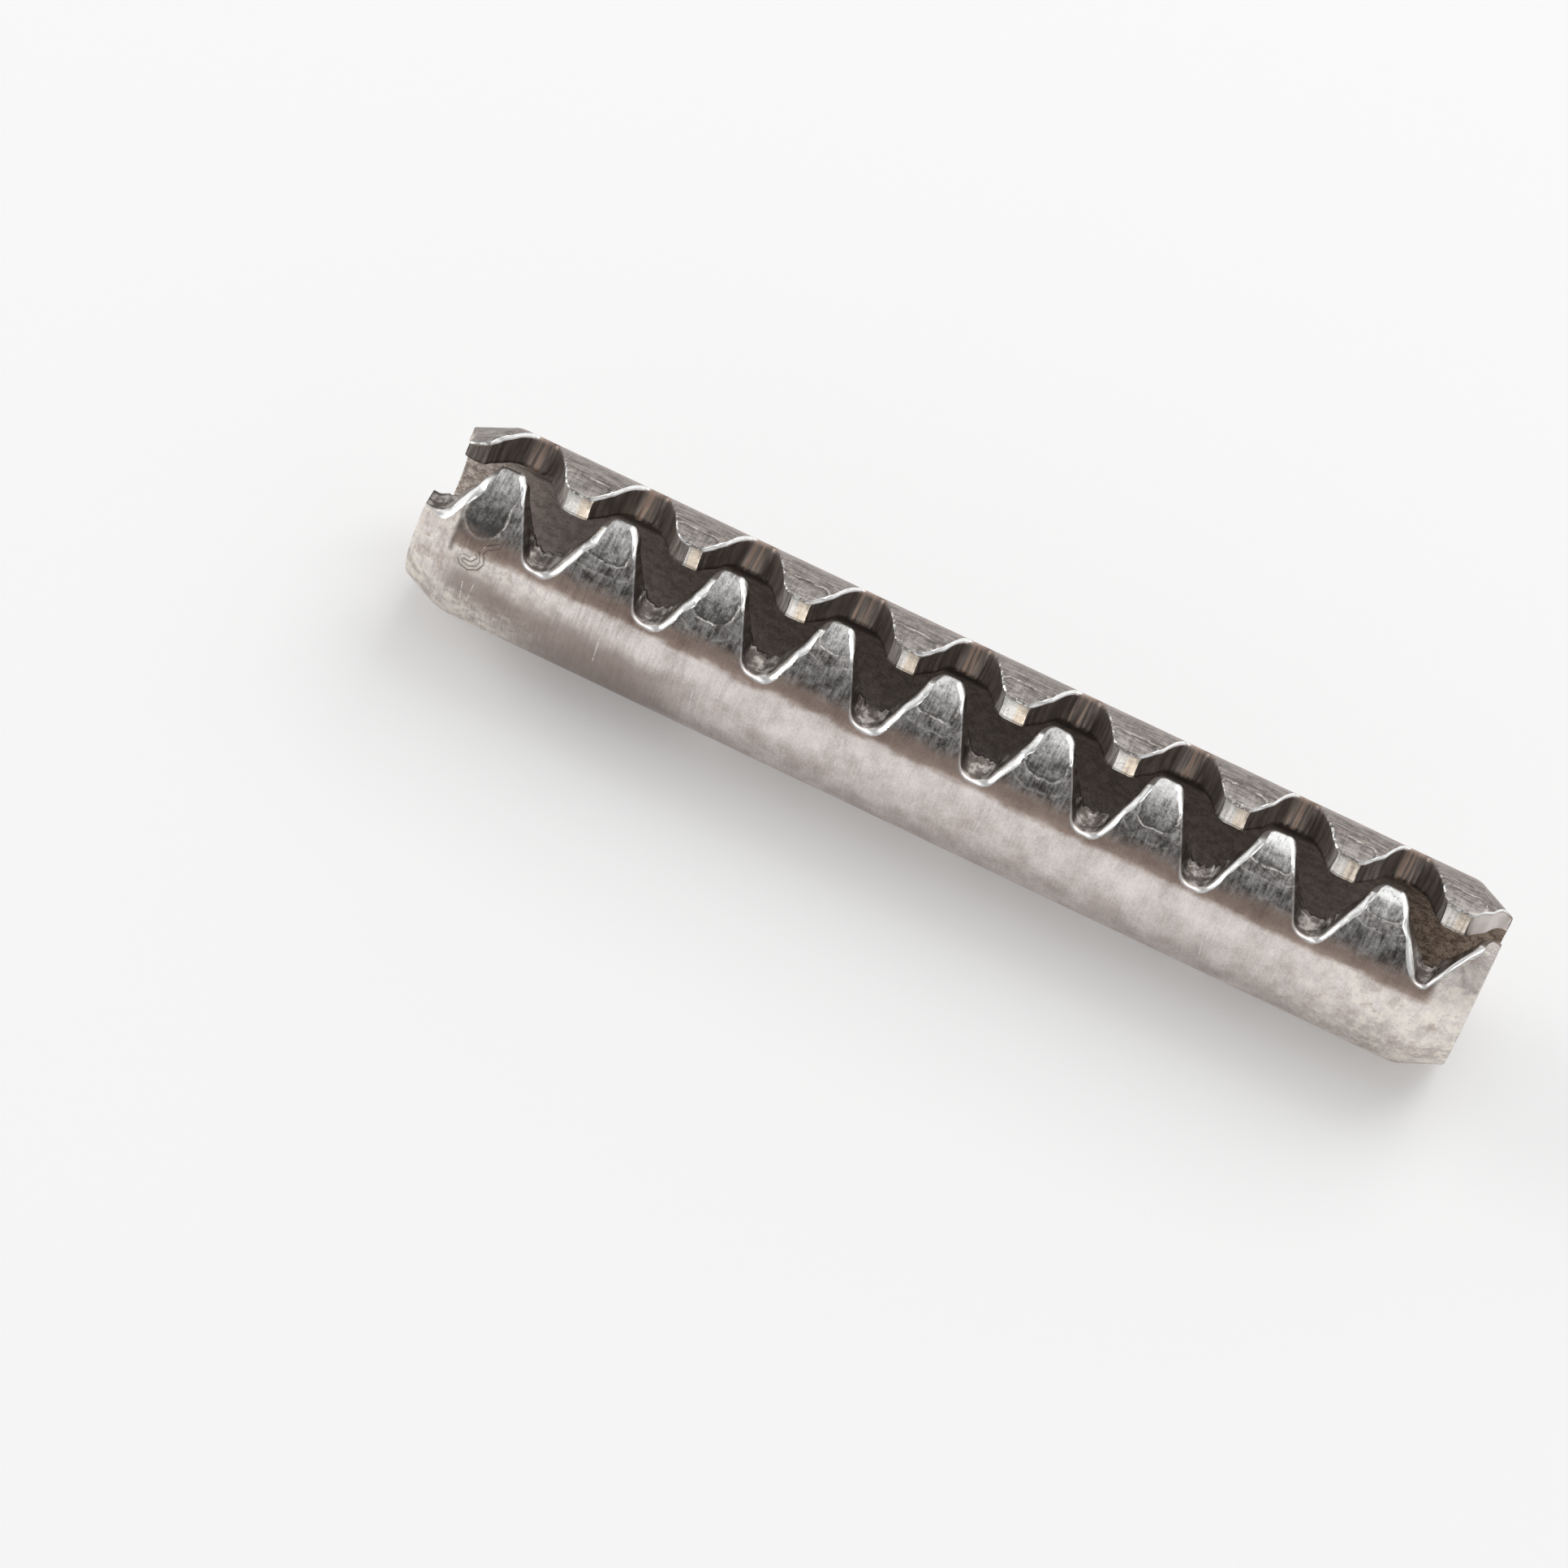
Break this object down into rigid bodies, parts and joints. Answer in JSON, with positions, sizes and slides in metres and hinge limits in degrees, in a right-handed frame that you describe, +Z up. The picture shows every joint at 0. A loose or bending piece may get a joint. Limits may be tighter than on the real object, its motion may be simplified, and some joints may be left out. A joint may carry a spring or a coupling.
{
  "type": "slotted spring pin",
  "caption": "Slotted spring pin rolled from spring steel into an open tube, with a wavy slot between two facing rows of teeth and a tapered lead at each end.",
  "frame": {"origin": "on the pin's axis, halfway along its length", "axes": "+X along the axis, towards the end where the front edge of the slot ends in a cut-off tooth flank; +Y from the front edge of the slot to the rear edge; +Z up, out through the slot"},
  "size_m": [0.05, 0.0088, 0.0085],
  "materials": {
    "spring_steel": "plain spring steel, satin and warm grey, darker and streaked on the teeth"
  },
  "bodies": {
    "root": {"spring_pin": "spring_steel"}
  },
  "joints": []
}
